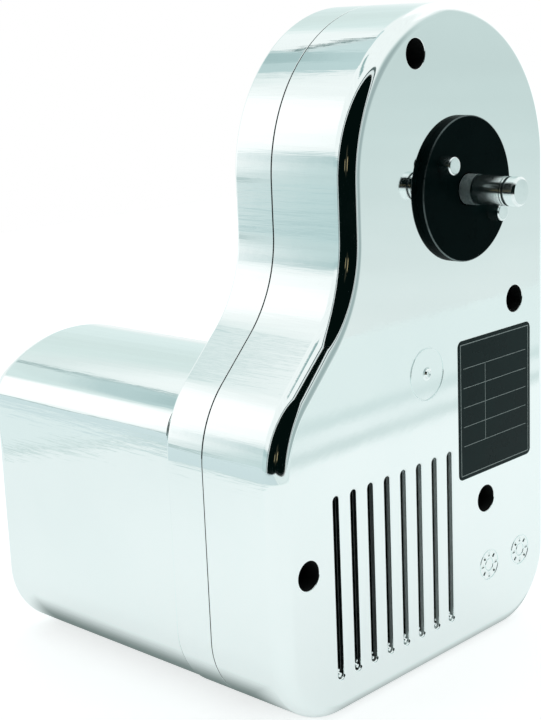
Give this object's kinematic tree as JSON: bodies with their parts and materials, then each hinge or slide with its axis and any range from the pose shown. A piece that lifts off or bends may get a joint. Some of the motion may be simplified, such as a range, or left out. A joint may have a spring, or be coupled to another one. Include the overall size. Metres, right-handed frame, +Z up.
{
  "type": "pasta machine drive motor unit",
  "caption": "Electric drive unit for a pasta machine: boot-shaped chromed casing, motor cover behind, spur gear train, output shaft in a black locking disc with studs.",
  "frame": {"origin": "output shaft's axis on the locking disc's outer face, the centre of the two studs", "axes": "+Z up, +Y into the casing away from the driven machine, +X to the right seen from the disc's side"},
  "size_m": [0.1206, 0.1444, 0.1862],
  "materials": {
    "front_cover": "bright chrome plating on moulded plastic",
    "rear_housing": "bright chrome plating on moulded plastic",
    "motor_cover": "bright chrome plating on moulded plastic",
    "locking_disc": "black satin coating on steel",
    "locking_studs": "bright zinc plating",
    "label_plate": "dark printed film without words",
    "casing_screws": "zinc plated steel",
    "cover_screws": "zinc plated steel",
    "output_bush_front": "sintered bronze",
    "output_bush_rear": "sintered bronze",
    "output_shaft": "turned and zinc plated steel",
    "output_gear": "natural acetal",
    "retaining_ring": "spring steel",
    "second_axle": "ground steel",
    "second_gear": "natural acetal",
    "first_axle": "ground steel",
    "first_gear": "natural acetal",
    "motor_pinion": "turned brass",
    "armature_shaft": "ground steel",
    "armature_core": "varnished laminations",
    "armature_winding": "varnished copper wire",
    "commutator": "copper bars",
    "cooling_fan": "moulded plastic",
    "motor_bearing_front": "sintered bronze",
    "motor_bearing_rear": "sintered bronze",
    "front_bracket": "die cast",
    "rear_bracket": "die cast",
    "stator_core": "varnished laminations",
    "field_coils": "varnished copper wire",
    "motor_bolts": "zinc plated steel",
    "brush_holders": "moulded resin",
    "carbon_brushes": "pressed carbon",
    "brush_springs": "spring wire",
    "switch_body": "moulded black plastic",
    "switch_rocker": "moulded black plastic",
    "power_inlet": "moulded black plastic",
    "inlet_pins": "nickel plated brass",
    "fuse_holder": "moulded resin",
    "fuse": "glass tube fuse",
    "switch_leads": "insulated wire"
  },
  "bodies": {
    "casing": {"front_cover": "front_cover", "rear_housing": "rear_housing", "motor_cover": "motor_cover", "locking_disc": "locking_disc", "locking_studs": "locking_studs", "label_plate": "label_plate", "casing_screws": "casing_screws", "cover_screws": "cover_screws", "output_bush_front": "output_bush_front", "output_bush_rear": "output_bush_rear", "second_axle": "second_axle", "first_axle": "first_axle", "motor_bearing_front": "motor_bearing_front", "motor_bearing_rear": "motor_bearing_rear", "front_bracket": "front_bracket", "rear_bracket": "rear_bracket", "stator_core": "stator_core", "field_coils": "field_coils", "motor_bolts": "motor_bolts", "brush_holders": "brush_holders", "carbon_brushes": "carbon_brushes", "brush_springs": "brush_springs", "switch_body": "switch_body", "power_inlet": "power_inlet", "inlet_pins": "inlet_pins", "fuse_holder": "fuse_holder", "fuse": "fuse", "switch_leads": "switch_leads"},
    "armature": {"armature_shaft": "armature_shaft", "armature_core": "armature_core", "armature_winding": "armature_winding", "commutator": "commutator", "cooling_fan": "cooling_fan", "motor_pinion": "motor_pinion"},
    "first_gear": {"first_gear": "first_gear"},
    "second_gear": {"second_gear": "second_gear"},
    "output": {"output_shaft": "output_shaft", "output_gear": "output_gear", "retaining_ring": "retaining_ring"},
    "rocker": {"switch_rocker": "switch_rocker"}
  },
  "joints": [
    {"name": "armature_spin", "type": "hinge", "parent": "casing", "child": "armature", "pos_m": [-0.04561, 0.07, -0.0894], "axis": [0, 1, 0], "continuous": true},
    {"name": "first_gear_spin", "type": "hinge", "parent": "casing", "child": "first_gear", "pos_m": [-0.02492, 0.025, -0.07205], "axis": [0, 1, 0], "continuous": true},
    {"name": "second_gear_spin", "type": "hinge", "parent": "casing", "child": "second_gear", "pos_m": [-0.01411, 0.015, -0.03876], "axis": [0, 1, 0], "continuous": true},
    {"name": "output_spin", "type": "hinge", "parent": "casing", "child": "output", "pos_m": [0, 0, 0], "axis": [0, 1, 0], "continuous": true},
    {"name": "rocker_tilt", "type": "hinge", "parent": "casing", "child": "rocker", "pos_m": [-0.04561, 0.11955, -0.06441], "axis": [1, 0, 0], "range_deg": [0, 20]}
  ],
  "couplings": [
    {"joint": "first_gear_spin", "follows": "armature_spin", "ratio": -0.2},
    {"joint": "second_gear_spin", "follows": "armature_spin", "ratio": 0.05},
    {"joint": "output_spin", "follows": "armature_spin", "ratio": -0.013462}
  ]
}
